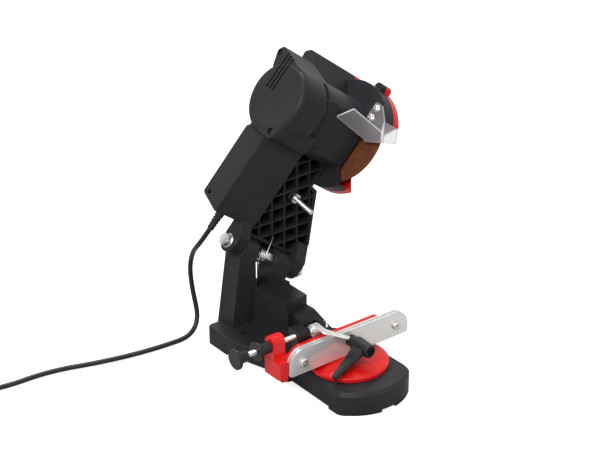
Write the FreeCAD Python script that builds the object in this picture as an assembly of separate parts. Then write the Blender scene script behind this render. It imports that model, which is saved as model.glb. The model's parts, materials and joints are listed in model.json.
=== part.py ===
import FreeCAD, Part
import math
import os
from FreeCAD import Vector as V

# Bench grinder for saw chains. Origin on the bench, midway between the four bench holes.
# +X is the operator's right, +Y the back, +Z up. Millimetres.

# Head frame: X along the motor axis, Y to the back, Z up the arm, origin at the wheel's middle.
TILT_DEG = 35.0
LEAN_DEG = 10.0
WHEEL_AT = (104.5, 50.5, 211.4)

# Grinding wheel and its spindle
WHEEL_R = 54.0
WHEEL_T = 3.2
WHEEL_BORE_R = 11.12
SPINDLE_R = 4.0
FLANGE_R = 16.0
FLANGE_HUB_R = 11.05

# Swing pivot, in the head frame
PIVOT_Y = -12.0
PIVOT_Z = -159.0
PIVOT_R = 4.0
PIVOT_BORE_R = 4.06
PILLAR_BOSS_R = 13.0
LUG_R = 12.0
LUG_SWEEP_R = 18.6
LEFT_LUG = (-69.0, -54.6)
LEFT_PILLAR = (-54.0, -33.5)
RIGHT_PILLAR = (-3.0, 21.0)
RIGHT_LUG = (21.6, 37.0)
SPRING_ROOM_R = 11.5

# Motor housing
WALL = 2.5
CAP_FACE_X = -117.0
CAP_JOINT_X = -109.0
BARREL_R = 40.0
DRUM_END_X = -9.4
DRUM_FRONT_Y = -28.0
BEARING_R = 11.0
BEARING_W = 7.0
STATOR_R = 25.0
STATOR_BORE_R = 14.2
ARMATURE_R = 13.7
COMMUTATOR_R = 9.5
HUMP = [(16, 30, 0), (46, 60, 5), (56, 53, 5), (52, 20, 8), (30, -20, 0), (0, 0, 0)]
TAB = [(-9.3, 38.4, 0), (32, 48, 4), (38, 41, 3), (31, 24, 0), (10, 10, 0)]
TAB_HOLE = (32.4, 39.8)
CHIN = [(-35.5, -14.5, 0), (-28.6, -39.2, 8.5), (-2.5, -38.6, 0), (0, 0, 0)]
CHIN_HOLE = (-22.0, -31.6)
CAP_SCREW_SEAT = 3.6
VENT_Y = (9.0, 14.5, 20.0)

# Wheel guard
GUARD_R = 63.0
GUARD_WALL = 2.4
GUARD_LEFT_X = -9.0
GUARD_SPLIT_X = 5.0
GUARD_RIGHT_X = 14.0
GUARD_TOP_DEG = 40.0
GUARD_LOW_DEG = -47.0
GUARD_BOSS_R = 5.5
GUARD_BOSS_AT = 64.5
GUARD_BOSS_DEG = (87, 205, 240)
VISOR_T = 2.0
VISOR_SCREWS = [(-28.5, 45.2), (-29.5, 34.0)]

# Arm: switch box and ribbed web
BOX_X = (-110.0, -50.0)
BOX_Y = (-13.4, 18.0)
BOX_Z = (-136.0, -36.0)
WEB_Y = (-12.0, 11.0)
WEB_LOW_Z = -145.0
SKIRT_LOW_Z = -169.0
LATTICE_PITCH = 16.0
LATTICE_T = 1.8
LATTICE_DEG = 40.0
COVER_SCREWS = [(-104, -122), (-56, -122), (-104, -50), (-56, -50)]
COVER_Y = BOX_Y[1] + 0.1
SWITCH_X = -80.0
SWITCH_Z = -80.0
DEPTH_AT = (-23.6, -84.6)
STRAIN_AT = (-95.0, -5.0)
STRAIN_TIP_Z = -157.0

# Base
SKIRT_Z = 3.0
REAR_TOP_Z = 21.0
PLATFORM_Z = 25.0
BASE_WALL = 3.5
BENCH_HOLE = (45.0, 38.0)
BENCH_HOLE_R = 3.5
BENCH_BOSS_R = 8.5
EAR_TOP_Z = 8.0
BASE_PLAN = [
    (-67.5, 78, 7),
    (-67.5, 30, 16),
    (-51, -26, 20),
    (-47.5, -52, 30),
    (-48.5, -129.3, 12),
    (0, -169.1, 60),
    (46, -131.3, 20),
    (46, -62, 12),
    (55, -46, 8),
    (55, -28, 8),
    (34, -6, 8),
    (34, 78, 4),
]

# Chain vise, measured from the turntable's own axis
TABLE_Y = -85.0
TABLE_R = 43.0
PLATE_X = 79.5
PLATE_Z = (36.0, 64.6)
PLATE_T = 2.5
CHAIN_GAP = 1.5
STUD_R = 4.0
STUD_Z = 53.0
JAW_SCREW = (62.0, 49.0)
LEVER_TIP = (-43.0, -29.0, 35.0)
STOP_Y = 16.0
STOP_Z = 68.5

# Lift spring
SPRING_WIRE = 1.8
SPRING_R = 8.5
SPRING_PITCH = 2.6
SPRING_TURNS = 3
SPRING_START_X = -25.5
SPRING_LEAVE_DEG = 9.0
SPRING_LEG = 24.0
SPRING_FOOT_Z = 59.8

# Mains lead
CORD_D = 5.5
COIL_AT = (-333.5, 188.5)
COIL_INNER_R = 22.5
COIL_PITCH = 6.3
COIL_LIFT = 6.1
COIL_QUARTERS = (14, 13)
COIL_START_DEG = -103.0
COIL_RUN_IN = 50.0
PLUG_LEAD = 24.0
CORD_FLOOR = 0.6
CORD_LIES = CORD_D / 2 + CORD_FLOOR + 0.2
CORD_POINTS = [
    (-64.0, 108.0, 97.5),
    (-63.5, 115.0, 65.0),
    (-63.5, 93.0, CORD_LIES),
    (-126.0, 94.0, CORD_LIES),
    (-184.0, 105.0, CORD_LIES),
    (-240.0, 124.0, CORD_LIES),
]


def unit(a):
    return a.normalize() if a.Length else a


def head_placement():
    tilt = math.radians(TILT_DEG)
    lean = math.radians(LEAN_DEG)
    across = V(math.cos(tilt), 0, -math.sin(tilt))
    rise = V(math.sin(tilt), 0, math.cos(tilt))
    back = V(0, math.cos(lean), 0) + rise * math.sin(lean)
    along = rise * math.cos(lean) - V(0, math.sin(lean), 0)
    rows = []
    for k in range(3):
        rows += [across[k], back[k], along[k], WHEEL_AT[k]]
    return FreeCAD.Placement(FreeCAD.Matrix(*rows, 0, 0, 0, 1))


HEAD = head_placement()


def in_head(shape):
    moved = shape.copy()
    moved.Placement = HEAD.multiply(moved.Placement)
    return moved


def on_table(shape):
    moved = shape.copy()
    moved.translate(V(0, TABLE_Y, 0))
    return moved


def box(x0, x1, y0, y1, z0, z1):
    return Part.makeBox(x1 - x0, y1 - y0, z1 - z0, V(x0, y0, z0))


def rod_x(x0, x1, r, y=0.0, z=0.0):
    return Part.makeCylinder(r, x1 - x0, V(x0, y, z), V(1, 0, 0))


def rod_y(y0, y1, r, x=0.0, z=0.0):
    return Part.makeCylinder(r, y1 - y0, V(x, y0, z), V(0, 1, 0))


def rod_z(z0, z1, r, x=0.0, y=0.0):
    return Part.makeCylinder(r, z1 - z0, V(x, y, z0), V(0, 0, 1))


def ring_x(x0, x1, r_out, r_in, y=0.0, z=0.0):
    return rod_x(x0, x1, r_out, y, z).cut(rod_x(x0 - 1, x1 + 1, r_in, y, z))


def fused(first, *others):
    return first.fuse(list(others)).removeSplitter()


def rounded(corners, lift):
    """Face bounded by straight sides through (u, v, radius) corners; lift places a (u, v)."""
    count = len(corners)
    ends = []
    for i, (u, v, r) in enumerate(corners):
        here = V(u, v, 0)
        before = unit(V(*corners[i - 1][:2], 0) - here)
        after = unit(V(*corners[(i + 1) % count][:2], 0) - here)
        half = before.getAngle(after) / 2
        reach = r / math.tan(half)
        middle = here + unit(before + after) * (r / math.sin(half) - r)
        ends.append((here + before * reach, middle, here + after * reach, r))
    edges = []
    for i, (start, middle, stop, r) in enumerate(ends):
        if r:
            arc = Part.Arc(lift(*start[:2]), lift(*middle[:2]), lift(*stop[:2]))
            edges.append(arc.toShape())
        onward = ends[(i + 1) % count][0]
        if (onward - stop).Length > 1e-6:
            edges.append(Part.makeLine(lift(*stop[:2]), lift(*onward[:2])))
    return Part.Face(Part.Wire(edges))


def prism_x(corners, x0, x1):
    """Corners are (y, z, radius)."""
    return rounded(corners, lambda y, z: V(x0, y, z)).extrude(V(x1 - x0, 0, 0))


def prism_y(corners, y0, y1):
    """Corners are (x, z, radius)."""
    return rounded(corners, lambda x, z: V(x, y0, z)).extrude(V(0, y1 - y0, 0))


def prism_z(corners, z0, z1):
    """Corners are (x, y, radius)."""
    return rounded(corners, lambda x, y: V(x, y, z0)).extrude(V(0, 0, z1 - z0))


def turned_x(corners):
    """Solid turned about X from (x, distance, radius) corners."""
    return rounded(corners, lambda x, r: V(x, 0, r)).revolve(V(0, 0, 0), V(1, 0, 0), 360)


def turned_z(corners):
    """Solid turned about Z from (distance, z, radius) corners."""
    return rounded(corners, lambda r, z: V(r, 0, z)).revolve(V(0, 0, 0), V(0, 0, 1), 360)


def hex_x(x0, x1, flats, y=0.0, z=0.0):
    r = flats / math.sqrt(3)
    points = []
    for k in range(6):
        turn = math.radians(60 * k)
        points.append((y + r * math.cos(turn), z + r * math.sin(turn), 0))
    return prism_x(points, x0, x1)


def hex_y(y0, y1, flats, x, z):
    prism = hex_x(y0, y1, flats)
    prism.rotate(V(0, 0, 0), V(0, 0, 1), 90)
    return prism.translated(V(x, 0, z))


def cross_cut(size, depth):
    """Cross recess, pointing down from z = 0."""
    slot = box(-size, size, -size * 0.22, size * 0.22, -depth, 1)
    other = slot.copy()
    other.rotate(V(0, 0, 0), V(0, 0, 1), 90)
    return slot.fuse(other)


def pan_screw(shank_r, length, head_r, head_h):
    """Pan-head screw with its head above z = 0 and its shank below."""
    dome = turned_z([(0, 0, 0), (head_r, 0, 0), (head_r, head_h, head_h * 0.6), (0, head_h, 0)])
    recess = cross_cut(head_r * 0.55, head_h * 0.6)
    recess.translate(V(0, 0, head_h))
    return fused(dome.cut(recess), rod_z(-length, 0, shank_r))


def aimed(shape, at, way):
    """Turns a shape built along +Z to face another way, and puts its origin at a point."""
    moved = shape.copy()
    moved.Placement = FreeCAD.Placement(V(*at), FreeCAD.Rotation(V(0, 0, 1), V(*way)))
    return moved


def group(solids):
    return Part.makeCompound(solids)


def arc_between(start, corner, stop):
    """Arc from start to stop, tangent to the two lines that meet at corner."""
    chord = (start + stop) * 0.5
    rise = corner - chord
    half = (stop - start).Length / 2
    if rise.Length < 1e-7 * half:
        return Part.makeLine(start, stop)
    slope = rise.Length / half
    sagitta = half * (math.sqrt(1 + slope * slope) - 1) / slope
    return Part.Arc(start, chord + unit(rise) * sagitta, stop).toShape()


def biarc(start, way, stop, end_way):
    """Two arcs that leave start along way and reach stop along end_way."""
    span = stop - start
    both = span.dot(way + end_way)
    bend = 2 * (1 - way.dot(end_way))
    if bend < 1e-9:
        reach = span.dot(span) / (2 * both)
    else:
        reach = (math.sqrt(both * both + bend * span.dot(span)) - both) / bend
    first = start + way * reach
    second = stop - end_way * reach
    joint = (first + second) * 0.5
    return [arc_between(start, first, joint), arc_between(joint, second, stop)]


def through(stations):
    """Edges through (point, direction) stations, a biarc between each two."""
    edges = []
    for (start, way), (stop, end_way) in zip(stations, stations[1:]):
        edges += biarc(start, way, stop, end_way)
    return edges


def tube(edges, r):
    path = Part.Wire(edges)
    start = edges[0].valueAt(edges[0].FirstParameter)
    way = edges[0].tangentAt(edges[0].FirstParameter)
    ring = Part.Wire(Part.makeCircle(r, start, way))
    shell = Part.BRepOffsetAPI.MakePipeShell(path)
    shell.add(ring)
    shell.build()
    shell.makeSolid()
    return shell.shape()


def least_gap(edges, diameter):
    """Least gap between stretches of a tube more than three diameters apart along it."""
    points = []
    run = 0.0
    for edge in edges:
        count = max(2, int(edge.Length / 1.5))
        for k in range(count):
            at = edge.FirstParameter + (edge.LastParameter - edge.FirstParameter) * k / count
            points.append((run + edge.Length * k / count, edge.valueAt(at)))
        run += edge.Length
    best = 1e9
    for i, (s, p) in enumerate(points):
        for t, q in points[i + 1 :]:
            if t - s > 3 * diameter:
                best = min(best, (p - q).Length)
    return best - diameter


def eased_route(points):
    """Straight runs joined by tangent arcs, and the radius of each arc."""
    edges = []
    radii = []
    here = points[0]
    for before, corner, after in zip(points, points[1:], points[2:]):
        into = unit(corner - before)
        out = unit(after - corner)
        reach = 0.45 * min((corner - before).Length, (after - corner).Length)
        start = corner - into * reach
        stop = corner + out * reach
        edges.append(Part.makeLine(here, start))
        edges.append(arc_between(start, corner, stop))
        radii.append(reach / math.tan(into.getAngle(out) / 2))
        here = stop
    edges.append(Part.makeLine(here, points[-1]))
    return edges, radii


# The base: one hollow moulding with a front platform and a forked tower

def on_axis(x, up):
    """World (x, z) of a point on the pivot axis moved square to it, in the axis's upright plane."""
    tilt = math.radians(TILT_DEG)
    at = HEAD.multVec(V(x, PIVOT_Y, PIVOT_Z))
    return at.x + up * math.sin(tilt), at.z + up * math.cos(tilt)


def pillar(corners, span, depth_back):
    """Upright with a round boss about the pivot; corners are its front outline below the boss."""
    axis_y = HEAD.multVec(V(0, PIVOT_Y, PIVOT_Z)).y
    boss = in_head(rod_x(span[0], span[1], PILLAR_BOSS_R, PIVOT_Y, PIVOT_Z))
    front = prism_y(corners, axis_y - 14, axis_y + 15)
    side = [
        (axis_y - PILLAR_BOSS_R, 15, 0),
        (axis_y + depth_back, 15, 0),
        (axis_y + min(depth_back, PILLAR_BOSS_R), 140, 0),
        (axis_y - PILLAR_BOSS_R, 140, 0),
    ]
    return front.common(prism_x(side, -90, 90)).fuse(boss)


def left_pillar():
    outline = [
        (-50.5, 15, 0),
        (*on_axis(LEFT_PILLAR[0], -PILLAR_BOSS_R), 0),
        (*on_axis(LEFT_PILLAR[0], 2), 0),
        (*on_axis(LEFT_PILLAR[1], 2), 0),
        (-17.0, 92, 0),
        (-16.5, 15, 0),
    ]
    return pillar(outline, LEFT_PILLAR, 15)


def right_pillar():
    outline = [
        (2, 40, 0),
        (*on_axis(RIGHT_PILLAR[0], -PILLAR_BOSS_R), 0),
        (*on_axis(RIGHT_PILLAR[0], 2), 0),
        (*on_axis(RIGHT_PILLAR[1], 2), 0),
        (29.5, 58, 0),
        (29.5, 40, 0),
    ]
    return pillar(outline, RIGHT_PILLAR, 11.5)


def tower():
    spine_top = [(-22, 15, 0), (34, 15, 0), (34, 49, 3), (-22, 61.4, 3)]
    spine_plan = [(-19, 80, 0), (-19, 53, 9), (-7, 10, 3), (30, 22, 3), (31, 80, 0)]
    spine = prism_z(spine_plan, 15, 70).common(prism_y(spine_top, 0, 90))
    nose_side = [(26, 18, 0), (26, 38, 0), (10, 38, 8), (-22, 27, 12), (-34, 22, 0), (-34, 18, 0)]
    nose = prism_x(nose_side, 2, 30)
    room = in_head(rod_x(LEFT_PILLAR[1], RIGHT_PILLAR[0], SPRING_ROOM_R, PIVOT_Y, PIVOT_Z))
    bore = in_head(rod_x(-90, 60, PIVOT_BORE_R, PIVOT_Y, PIVOT_Z))
    hollow = prism_z([(-14, 76, 4), (-14, 58, 4), (-3, 17, 3), (26, 27, 3), (27, 76, 4)], 0, 43)
    lug_way = in_head(rod_x(RIGHT_PILLAR[1], 60, LUG_SWEEP_R, PIVOT_Y, PIVOT_Z))
    body = fused(spine, nose, left_pillar(), right_pillar())
    return body.cut(room).cut(hollow).cut(bore).cut(lug_way)


def floor_and_platform():
    """Low rear floor and the higher platform under the turntable, as one solid block."""
    plan = rounded(BASE_PLAN, lambda x, y: V(x, y, SKIRT_Z))
    floor = plan.extrude(V(0, 0, REAR_TOP_Z - SKIRT_Z))
    floor = floor.makeFillet(2.0, [e for e in floor.Edges if e.BoundBox.ZMin > REAR_TOP_Z - 0.1])
    platform = plan.extrude(V(0, 0, PLATFORM_Z - SKIRT_Z))
    platform = platform.common(box(-80, 80, -160, -39, 0, 40))
    rim = [e for e in platform.Edges if e.BoundBox.ZMin > PLATFORM_Z - 0.1]
    return floor.fuse(platform.makeChamfer(3.6, rim))


def feet():
    """Outer wall carried down to the bench at the back and at the two front corners."""
    plan = rounded(BASE_PLAN, lambda x, y: V(x, y, 0))
    wall = plan.extrude(V(0, 0, SKIRT_Z + 0.2))
    wall = wall.cut(plan.makeOffset2D(-BASE_WALL).extrude(V(0, 0, 20)).translated(V(0, 0, -10)))
    front = box(-80, -9, -160, -112, -1, 10).fuse(box(9, 80, -160, -112, -1, 10))
    return wall.common(front.fuse(box(-80, 80, 40, 90, -1, 10)))


def base():
    plan = rounded(BASE_PLAN, lambda x, y: V(x, y, 0))
    hollow = plan.makeOffset2D(-BASE_WALL).extrude(V(0, 0, REAR_TOP_Z - BASE_WALL))
    body = floor_and_platform().cut(hollow)
    hole_x, hole_y = BENCH_HOLE
    ear = rod_z(0, EAR_TOP_Z, BENCH_BOSS_R, hole_x, hole_y)
    ear = ear.fuse(box(hole_x - 14, hole_x, hole_y - BENCH_BOSS_R, hole_y + BENCH_BOSS_R, 0, EAR_TOP_Z))
    bosses = [ear]
    for x, y in ((-hole_x, hole_y), (-hole_x, -hole_y), (hole_x, -hole_y)):
        bosses.append(rod_z(0, REAR_TOP_Z - 1, BENCH_BOSS_R, x, y))
    hub = rod_z(9, PLATFORM_Z, 13, 0, TABLE_Y)
    body = fused(body, *bosses, feet(), hub, tower())
    body = body.cut(rod_z(0, 40, SPINDLE_R + 0.06, 0, TABLE_Y))
    for x in (-hole_x, hole_x):
        for y in (-hole_y, hole_y):
            body = body.cut(rod_z(-1, 40, BENCH_HOLE_R, x, y))
            body = body.cut(rod_z(REAR_TOP_Z, 40, BENCH_BOSS_R - 2, x, y))
    return body


# Swing pivot and lift spring

def pivot_bolt():
    head = hex_x(-77.0, -71.2, 13, PIVOT_Y, PIVOT_Z)
    shank = rod_x(-71.2, RIGHT_LUG[1] + 11.5, PIVOT_R, PIVOT_Y, PIVOT_Z)
    return in_head(fused(head, shank))


def pivot_washers():
    left = ring_x(-71.0, -69.4, 8, PIVOT_R + 0.2, PIVOT_Y, PIVOT_Z)
    x = RIGHT_LUG[1] + 0.4
    right = ring_x(x, x + 1.6, 8, PIVOT_R + 0.2, PIVOT_Y, PIVOT_Z)
    return in_head(group([left, right]))


def drilled_nut(x0, x1, flats, bore):
    return hex_x(x0, x1, flats, PIVOT_Y, PIVOT_Z).cut(rod_x(x0 - 1, x1 + 1, bore, PIVOT_Y, PIVOT_Z))


def pivot_nuts():
    inner = drilled_nut(-11.5, -4.0, 13, PIVOT_R)
    collar = ring_x(-15.6, -11.5, 7.6, PIVOT_R, PIVOT_Y, PIVOT_Z)
    outer = drilled_nut(RIGHT_LUG[1] + 2.2, RIGHT_LUG[1] + 9.5, 13, PIVOT_R)
    return in_head(group([fused(inner, collar), outer]))


def spring_sleeve():
    return in_head(ring_x(-33.0, -16.2, 5.2, PIVOT_R + 0.2, PIVOT_Y, PIVOT_Z))


def swing_point(x, turn, r):
    """Point about the pivot at a turn from straight forward, upward first, and the way round."""
    at = HEAD.multVec(V(x, PIVOT_Y, PIVOT_Z))
    tilt = math.radians(TILT_DEG)
    rise = V(math.sin(tilt), 0, math.cos(tilt))
    back = V(0, 1, 0)
    out = rise * math.sin(turn) - back * math.cos(turn)
    round_way = rise * math.cos(turn) + back * math.sin(turn)
    return at + out * r, round_way


def lift_spring():
    stations = []
    for k in range(SPRING_TURNS * 4 + 1):
        turn = math.pi / 2 * k
        at, way = swing_point(SPRING_START_X + SPRING_PITCH * k / 4, turn, SPRING_R)
        stations.append((at, way))
    leave = 2 * math.pi * SPRING_TURNS + math.radians(SPRING_LEAVE_DEG)
    end_x = SPRING_START_X + SPRING_PITCH * SPRING_TURNS
    stations.append(swing_point(end_x, leave, SPRING_R))
    start, way = stations[0]
    bend = start - way * 7
    foot = V(bend.x, bend.y, SPRING_FOOT_Z)
    low = bend - V(0, 0, 6)
    tip = stations[-1][0] + stations[-1][1] * SPRING_LEG
    legs = [Part.makeLine(foot, low), arc_between(low, bend, bend + way * 6)]
    legs.append(Part.makeLine(bend + way * 6, start))
    edges = legs + through(stations) + [Part.makeLine(stations[-1][0], tip)]
    print("lift spring least gap", round(least_gap(edges, SPRING_WIRE), 2), "mm")
    return tube(edges, SPRING_WIRE / 2)


# Head: motor housing, arm, end cap and box cover

def barrel(x0):
    side = [(x0, 0, 0), (x0, BARREL_R, 0), (-80, BARREL_R, 10), (-66, 29, 5), (-60, 0, 0)]
    return turned_x(side)


def barrel_cavity():
    r = BARREL_R - WALL
    x0 = CAP_JOINT_X - 1
    return turned_x([(x0, 0, 0), (x0, r, 0), (-80, r, 8), (-66, 26, 0), (-66, 0, 0)])


def web_outline(inset):
    """Right-hand web of the arm, clear of the wheel guard above and the pillars below."""
    i = inset
    right = RIGHT_LUG[1]
    return [
        (BOX_X[1] - 4 + 4 * i / 3, -30 - i, 0),
        (DRUM_END_X - i, -30 - i, 0),
        (DRUM_END_X - i, -64.8 - i, 0),
        (0 - i, -67 - i, 0),
        (18 - i * 1.2, -96 - i * 0.6, 6),
        (right - i, -126 - i * 0.4, 6),
        (right - i, WEB_LOW_Z + i, 0),
        (BOX_X[1] - 4 + 4 * i / 3, WEB_LOW_Z + i, 0),
    ]


def lattice():
    ribs = []
    middle = V(-5, 0, -100)
    for turn in (LATTICE_DEG, LATTICE_DEG + 90):
        for k in range(-6, 7):
            rib = box(-90, 90, WEB_Y[0] + 1, WEB_Y[1] - 2, -LATTICE_T / 2, LATTICE_T / 2)
            rib.translate(V(0, 0, k * LATTICE_PITCH))
            rib.rotate(V(0, 0, 0), V(0, 1, 0), -turn)
            rib.translate(middle)
            ribs.append(rib)
    return ribs[0].fuse(ribs[1:])


def lug(span, top):
    y0 = PIVOT_Y - LUG_R
    corners = [
        (y0, PIVOT_Z - LUG_R, LUG_R * 0.999),
        (PIVOT_Y + LUG_R, PIVOT_Z - LUG_R, LUG_R * 0.999),
        (PIVOT_Y + LUG_R, top, 0),
        (WEB_Y[0], top, 0),
        (y0, -146, 6),
    ]
    return prism_x(corners, span[0], span[1])


def box_side(grow):
    """Side outline of the switch box, its floor falling to the front."""
    g = grow
    return [
        (BOX_Y[0] - g, BOX_Z[0] - g, 2),
        (BOX_Y[1] + 0.01, BOX_Z[0] + 7 - g, 0),
        (BOX_Y[1] + 0.01, BOX_Z[1] + g, 0),
        (BOX_Y[0] - g, BOX_Z[1] + g, 0),
    ]


def head_body():
    web = prism_y(web_outline(0), WEB_Y[0], WEB_Y[1])
    pocket = prism_y(web_outline(3), WEB_Y[0] - 1, WEB_Y[1] - 3)
    web = web.cut(pocket).fuse(lattice().common(pocket))
    skirt = [(-52, -140, 0), (RIGHT_LUG[1], -140, 0), (RIGHT_LUG[1], SKIRT_LOW_Z, 8), (-52, SKIRT_LOW_Z, 8)]
    web = web.fuse(prism_y(skirt, WEB_Y[1] - 3, WEB_Y[1]))
    shell = barrel(CAP_JOINT_X)
    tab = prism_x(TAB, CAP_JOINT_X, -70)
    chin = prism_x(CHIN, CAP_JOINT_X, -64)
    drum = rod_x(-74, DRUM_END_X, BARREL_R - 0.5).common(box(-80, 0, DRUM_FRONT_Y, 60, -60, 60))
    hump = prism_x(HUMP, -67.5, GUARD_SPLIT_X - 0.4).cut(rod_x(DRUM_END_X, 20, GUARD_R + 0.4))
    hump = hump.cut(box(DRUM_END_X, 20, -70, 30, -70, 63))
    switch_box = prism_x(box_side(0), *BOX_X)
    lugs = lug(LEFT_LUG, -130).fuse(lug(RIGHT_LUG, -128))
    body = fused(shell, tab, chin, drum, hump, switch_box, web, lugs)
    body = body.cut(box(CAP_FACE_X, CAP_JOINT_X, -60, 60, -40.6, 60))
    inside = box(-70, -12, DRUM_FRONT_Y + WALL, 60, -60, 60)
    drum_cavity = rod_x(-70, -12, BARREL_R - 0.5 - WALL).common(inside)
    box_cavity = prism_x(box_side(-WALL), BOX_X[0] + WALL, BOX_X[1] - WALL)
    box_cavity = box_cavity.common(box(-120, 0, -20, 40, -140, -42))
    wire_way = box(-80, -70, 0, 10, -44, -30)
    body = body.cut(barrel_cavity().fuse([drum_cavity, box_cavity, wire_way]))
    seat_wall = rod_x(-27.2, -24.2, BARREL_R - 1).common(box(-80, 0, DRUM_FRONT_Y + 1, 60, -60, 60))
    seat = rod_x(-26, -17, BEARING_R + 2.5)
    body = fused(body, seat_wall, seat, *stator_ribs())
    openings = [
        rod_x(-24.2, -16, BEARING_R),
        rod_x(-30, -20, 6),
        rod_x(-16, -8, 12),
        rod_x(-90, 60, PIVOT_BORE_R, PIVOT_Y, PIVOT_Z),
        rod_x(CAP_JOINT_X - 1, -84, 1.9, *CHIN_HOLE),
        rod_x(CAP_JOINT_X - 1, -84, 1.9, *TAB_HOLE),
        rod_y(-20, 20, 3.05, DEPTH_AT[0], DEPTH_AT[1]),
        rod_z(-150, -120, 4.1, STRAIN_AT[0], STRAIN_AT[1]),
        rod_x(BOX_X[0] - 1, BOX_X[0] + 5, 2.6, 11.5, -124),
    ]
    pad = rod_y(WEB_Y[0] + 1, WEB_Y[1], 6.5, DEPTH_AT[0], DEPTH_AT[1])
    body = body.fuse(pad)
    for opening in openings:
        body = body.cut(opening)
    for x, z in COVER_SCREWS:
        post = rod_y(BOX_Y[1] - 16, BOX_Y[1], 4.2, x, z)
        body = body.fuse(post).cut(rod_y(BOX_Y[1] - 12, BOX_Y[1] + 1, 1.5, x, z))
    return in_head(body.removeSplitter())


def stator_ribs():
    ribs = []
    for turn in (45, 135, 225, 315):
        rib = box(-82, -50, -3, 3, STATOR_R, BARREL_R - 2)
        rib = rib.common(rod_x(-90, -40, BARREL_R - 1.2)).cut(rod_x(-90, -40, STATOR_R))
        rib.rotate(V(0, 0, 0), V(1, 0, 0), turn)
        ribs.append(rib)
    return ribs


def end_cap():
    x0 = CAP_FACE_X
    x1 = CAP_JOINT_X - 0.4
    side = [(x0, 0, 0), (x0, BARREL_R, 6), (x1, BARREL_R, 0), (x1, BARREL_R - WALL, 0)]
    side += [(x0 + WALL, BARREL_R - WALL, 4), (x0 + WALL, 0, 0)]
    cup = turned_x(side)
    tab = prism_x(TAB, x0 + 0.8, x1).cut(rod_x(x0 + WALL, x1 + 1, BARREL_R - WALL))
    chin = prism_x(CHIN, x0 + 0.8, x1).cut(rod_x(x0 + WALL, x1 + 1, BARREL_R - WALL))
    seat = rod_x(x0 + 1, -105, BEARING_R + 2.5)
    cap = fused(cup, tab, chin, seat)
    cap = cap.cut(rod_x(-112.0, -100, BEARING_R))
    for y in VENT_Y:
        slot = [(y - 1.2, 2, 1.1), (y + 1.2, 2, 1.1), (y + 1.2, 52, 0), (y - 1.2, 52, 0)]
        cap = cap.cut(prism_x(slot, x0 - 1, x0 + 5))
    for at in (CHIN_HOLE, TAB_HOLE):
        cap = cap.cut(rod_x(x0 - 1, x1 + 1, 2.1, *at))
        cap = cap.cut(rod_x(x0 - 1, x0 + CAP_SCREW_SEAT, 3.8, *at))
    return in_head(cap)


def cap_screws():
    screws = []
    for at in (CHIN_HOLE, TAB_HOLE):
        screw = pan_screw(1.9, 26, 3.4, 2.2)
        screws.append(aimed(screw, (CAP_FACE_X + CAP_SCREW_SEAT, *at), (-1, 0, 0)))
    return in_head(group(screws))


def cover_outline(inset, r):
    i = inset
    low = BOX_Z[0] + 7 + i
    high = BOX_Z[1] - 6 - i
    return [(BOX_X[0] + i, low, r), (BOX_X[1] - i, low, r), (BOX_X[1] - i, high, r), (BOX_X[0] + i, high, r)]


def box_cover():
    y0 = COVER_Y
    cover = prism_y(cover_outline(0, 3), y0, y0 + WALL)
    lip = prism_y(cover_outline(2.8, 2), y0 - 2.2, y0)
    cover = cover.fuse(lip.cut(prism_y(cover_outline(4.6, 1), y0 - 3, y0)))
    for x, z in COVER_SCREWS:
        cover = cover.cut(rod_y(y0 - 5, y0 + 9, 1.7, x, z))
        cover = cover.cut(rod_y(y0 - 3, y0, 4.6, x, z))
    window = box(SWITCH_X - 6.6, SWITCH_X + 6.6, y0 - 3, y0 + 9, SWITCH_Z - 9.7, SWITCH_Z + 9.7)
    return in_head(cover.cut(window).removeSplitter())


def cover_screws():
    screws = []
    for x, z in COVER_SCREWS:
        screw = pan_screw(1.5, 11, 3.2, 2.0)
        screws.append(aimed(screw, (x, COVER_Y + WALL, z), (0, 1, 0)))
    return in_head(group(screws))


def switch_body():
    y0 = COVER_Y + WALL
    outer = box(SWITCH_X - 6.4, SWITCH_X + 6.4, y0 - 17, y0, SWITCH_Z - 9.5, SWITCH_Z + 9.5)
    flange = box(SWITCH_X - 7.5, SWITCH_X + 7.5, y0, y0 + 1.8, SWITCH_Z - 10.5, SWITCH_Z + 10.5)
    well = box(SWITCH_X - 4.6, SWITCH_X + 4.6, y0 - 7, y0 + 3, SWITCH_Z - 8, SWITCH_Z + 8)
    tags = []
    for z in (SWITCH_Z - 5, SWITCH_Z + 5):
        tags.append(box(SWITCH_X - 3, SWITCH_X + 3, y0 - 24, y0 - 16, z - 0.4, z + 0.4))
    return in_head(fused(outer, flange, *tags).cut(well))


def rocker():
    y0 = COVER_Y + WALL
    side = [
        (y0 - 5.2, SWITCH_Z - 2.5, 2),
        (y0 - 5.2, SWITCH_Z + 2.5, 2),
        (y0 + 0.9, SWITCH_Z + 7.2, 0.6),
        (y0 + 2.4, SWITCH_Z, 8),
        (y0 + 3.6, SWITCH_Z - 7.0, 0.6),
    ]
    return in_head(prism_x(side, SWITCH_X - 4.2, SWITCH_X + 4.2))


# Motor

def stator():
    core = rod_x(-82, -50, STATOR_R - 0.1).cut(rod_x(-90, -40, STATOR_BORE_R))
    for side in (-1, 1):
        window = [(side * 8, -13, 0), (side * 20, -10, 2), (side * 20, 10, 2), (side * 8, 13, 0)]
        core = core.cut(prism_x(window, -90, -40))
    return in_head(core)


def field_coils():
    coils = []
    for side in (-1, 1):
        inner = side * (STATOR_BORE_R + 0.8)
        outer = side * 19.6
        section = [(inner, -8, 1), (outer, -8.6, 1), (outer, 8.6, 1), (inner, 8, 1)]
        coils.append(prism_x(section, -87, -45))
    return in_head(group(coils))


def bearing(x0):
    race = ring_x(x0, x0 + BEARING_W, BEARING_R - 0.01, 8.4)
    inner = ring_x(x0, x0 + BEARING_W, 6.2, SPINDLE_R + 0.01)
    shield = ring_x(x0 + 0.6, x0 + BEARING_W - 0.6, 8.4, 6.2)
    return fused(race, inner, shield)


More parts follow.
